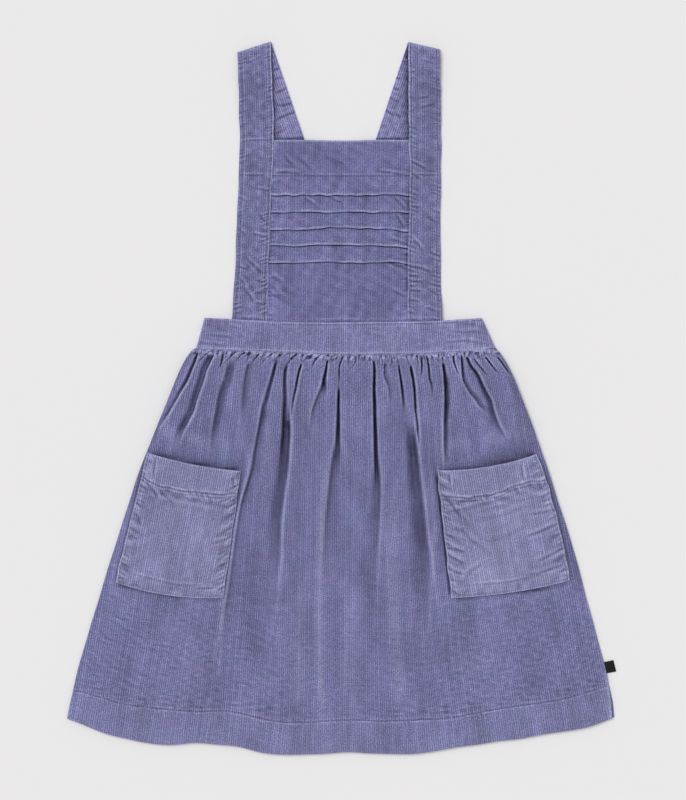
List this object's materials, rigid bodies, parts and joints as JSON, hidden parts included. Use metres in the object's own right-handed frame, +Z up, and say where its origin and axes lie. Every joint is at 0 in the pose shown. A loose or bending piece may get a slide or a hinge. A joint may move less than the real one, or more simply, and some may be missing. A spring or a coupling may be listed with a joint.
{
  "type": "pinafore dress",
  "caption": "Child's fine corduroy pinafore dress laid flat: tucked bib, shoulder straps that cross at the back, waistband, gathered skirt and patch pockets.",
  "frame": {"origin": "on the surface the dress lies on, under the middle of its outline", "axes": "+Y along the dress towards the shoulders, +Z up out of its front, +X to the right as seen from above"},
  "size_m": [0.5048, 0.6558, 0.0134],
  "materials": {
    "corduroy": "matte",
    "tape": "satin"
  },
  "bodies": {
    "root": {"bib": "corduroy", "front_strap_left": "corduroy", "front_strap_right": "corduroy", "back_strap_left": "corduroy", "back_strap_right": "corduroy", "waistband_front": "corduroy", "waistband_back": "corduroy", "skirt_front": "corduroy", "skirt_back": "corduroy", "pocket_left": "corduroy", "pocket_right": "corduroy", "side_label": "tape"}
  },
  "joints": []
}
